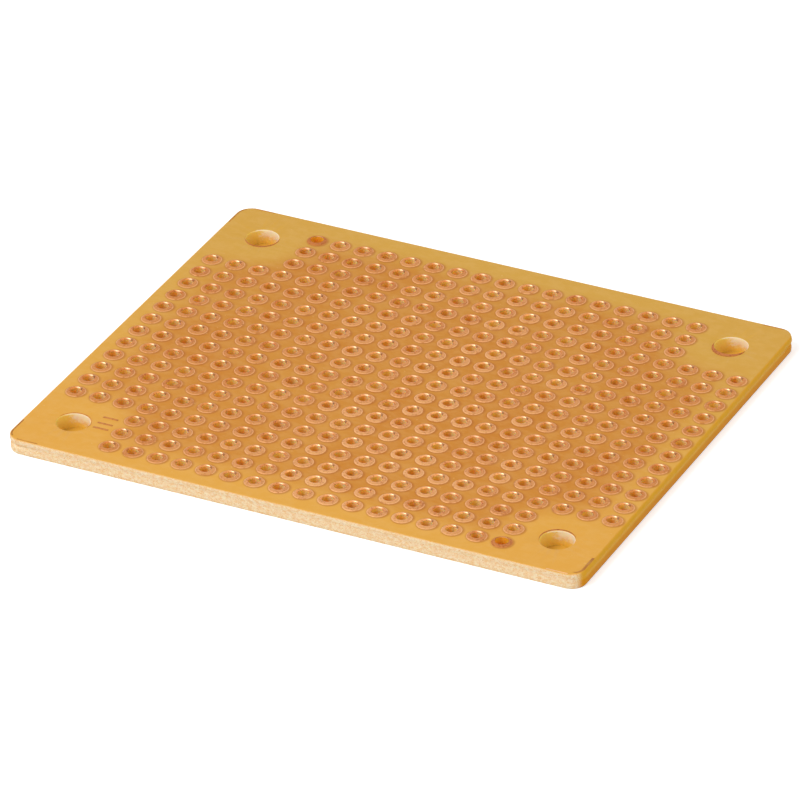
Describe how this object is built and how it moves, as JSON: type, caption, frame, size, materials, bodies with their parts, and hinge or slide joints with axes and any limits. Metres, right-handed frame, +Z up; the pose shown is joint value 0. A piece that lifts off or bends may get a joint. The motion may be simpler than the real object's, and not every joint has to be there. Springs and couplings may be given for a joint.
{
  "type": "prototype board",
  "caption": "Flat punched phenolic board with a square grid of lead holes, an etched copper pad around each on one face, and corner mounting holes.",
  "frame": {"origin": "centre of the underside, at the middle of the board's outline", "axes": "+X along the long side, +Y along the short side towards the edge furthest from the index bars, +Z up, out of the copper side"},
  "size_m": [0.0596, 0.0492, 0.0016],
  "materials": {
    "phenolic": "amber paper-phenolic laminate, satin resin skin, pale fibrous punched edge",
    "copper": "bare etched copper foil, lightly tarnished, satin"
  },
  "bodies": {
    "root": {"laminate": "phenolic", "pads_row_01": "copper", "pads_row_02": "copper", "pads_row_03": "copper", "pads_row_04": "copper", "pads_row_05": "copper", "pads_row_06": "copper", "pads_row_07": "copper", "pads_row_08": "copper", "pads_row_09": "copper", "pads_row_10": "copper", "pads_row_11": "copper", "pads_row_12": "copper", "pads_row_13": "copper", "pads_row_14": "copper", "pads_row_15": "copper", "pads_row_16": "copper", "pads_row_17": "copper", "pads_row_18": "copper", "mounting_hole_lands": "copper", "corner_marks": "copper", "index_bars": "copper"}
  },
  "joints": []
}
